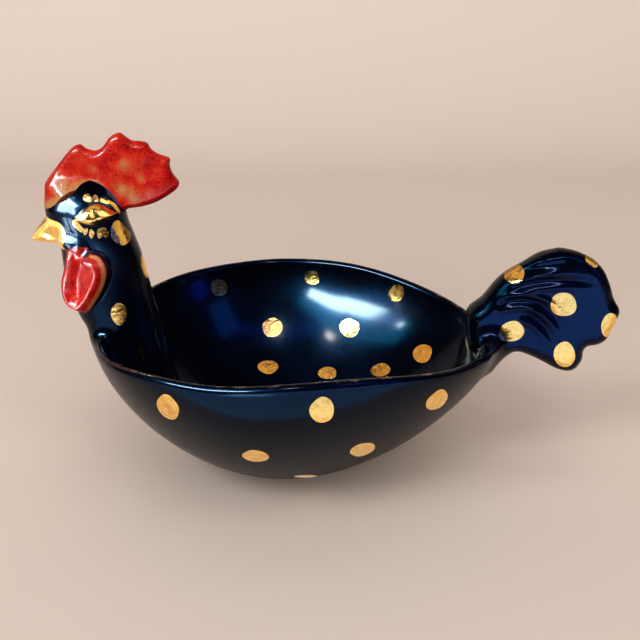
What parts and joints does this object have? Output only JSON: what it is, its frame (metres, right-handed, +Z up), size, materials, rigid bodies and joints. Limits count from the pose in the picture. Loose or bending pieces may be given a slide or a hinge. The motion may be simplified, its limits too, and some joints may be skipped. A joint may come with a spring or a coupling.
{
  "type": "rooster dish",
  "caption": "Free-standing glazed ceramic dish shaped as a rooster: an open bowl for small things, with a neck, head, comb, beak and wattles at one end and a fan tail at the other.",
  "frame": {"origin": "on the surface that the foot stands on, under the centre of the whole bird's bounding box", "axes": "+X runs from the head to the tail, +Z is up, and the bird's left side is -Y"},
  "size_m": [0.2368, 0.152, 0.1397],
  "materials": {
    "black_glaze": "glossy blue-black glaze",
    "red_glaze": "glossy mottled red glaze",
    "gold_lustre": "bright gold lustre fired on the glaze"
  },
  "bodies": {
    "root": {"bowl": "black_glaze", "neck": "black_glaze", "head": "black_glaze", "comb": "red_glaze", "beak": "gold_lustre", "eyelid_left": "gold_lustre", "eyelid_right": "gold_lustre", "wattle_left": "red_glaze", "wattle_right": "red_glaze", "tail": "black_glaze"}
  },
  "joints": []
}
